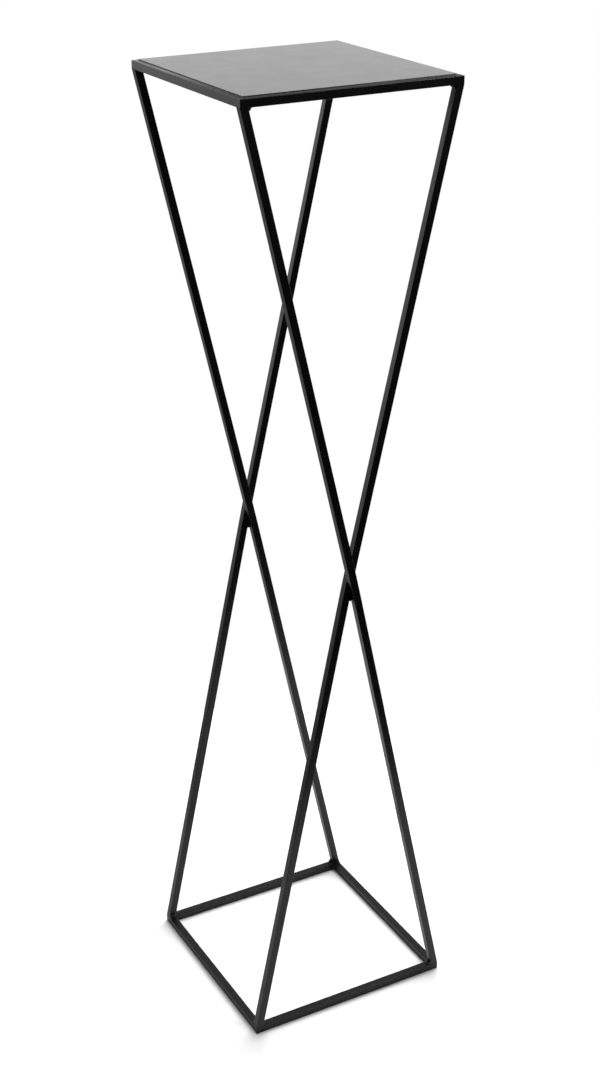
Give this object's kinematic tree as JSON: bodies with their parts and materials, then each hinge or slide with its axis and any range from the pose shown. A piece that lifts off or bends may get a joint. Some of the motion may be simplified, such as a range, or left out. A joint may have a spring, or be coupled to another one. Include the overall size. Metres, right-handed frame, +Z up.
{
  "type": "display plinth",
  "caption": "Tall slim display stand: square metal frames at top and foot, a thin sheet top, and slanted square bars crossing in an X on two opposite faces.",
  "frame": {"origin": "centre of the footprint on the floor", "axes": "+Z up, +X along the front face to the right, -Y out of the front face; the crossed bars are on the -Y and +Y faces"},
  "size_m": [0.23, 0.238, 1],
  "materials": {
    "sheet_coat": "black powder coat, satin, on sheet steel",
    "bar_coat": "black powder coat, satin, on square steel bar",
    "weld_coat": "black powder coat over weld beads and over the ground seam around the sheet"
  },
  "bodies": {
    "root": {"top_sheet": "sheet_coat", "top_rail_front": "bar_coat", "top_rail_right": "bar_coat", "top_rail_back": "bar_coat", "top_rail_left": "bar_coat", "bottom_rail_front": "bar_coat", "bottom_rail_right": "bar_coat", "bottom_rail_back": "bar_coat", "bottom_rail_left": "bar_coat", "front_outer_leg": "bar_coat", "front_inner_leg": "bar_coat", "back_outer_leg": "bar_coat", "back_inner_leg": "bar_coat", "front_crossing_weld": "weld_coat", "back_crossing_weld": "weld_coat", "top_leg_welds": "weld_coat", "bottom_leg_welds": "weld_coat", "top_mitre_welds": "weld_coat", "bottom_mitre_welds": "weld_coat", "sheet_welds": "weld_coat"}
  },
  "joints": []
}
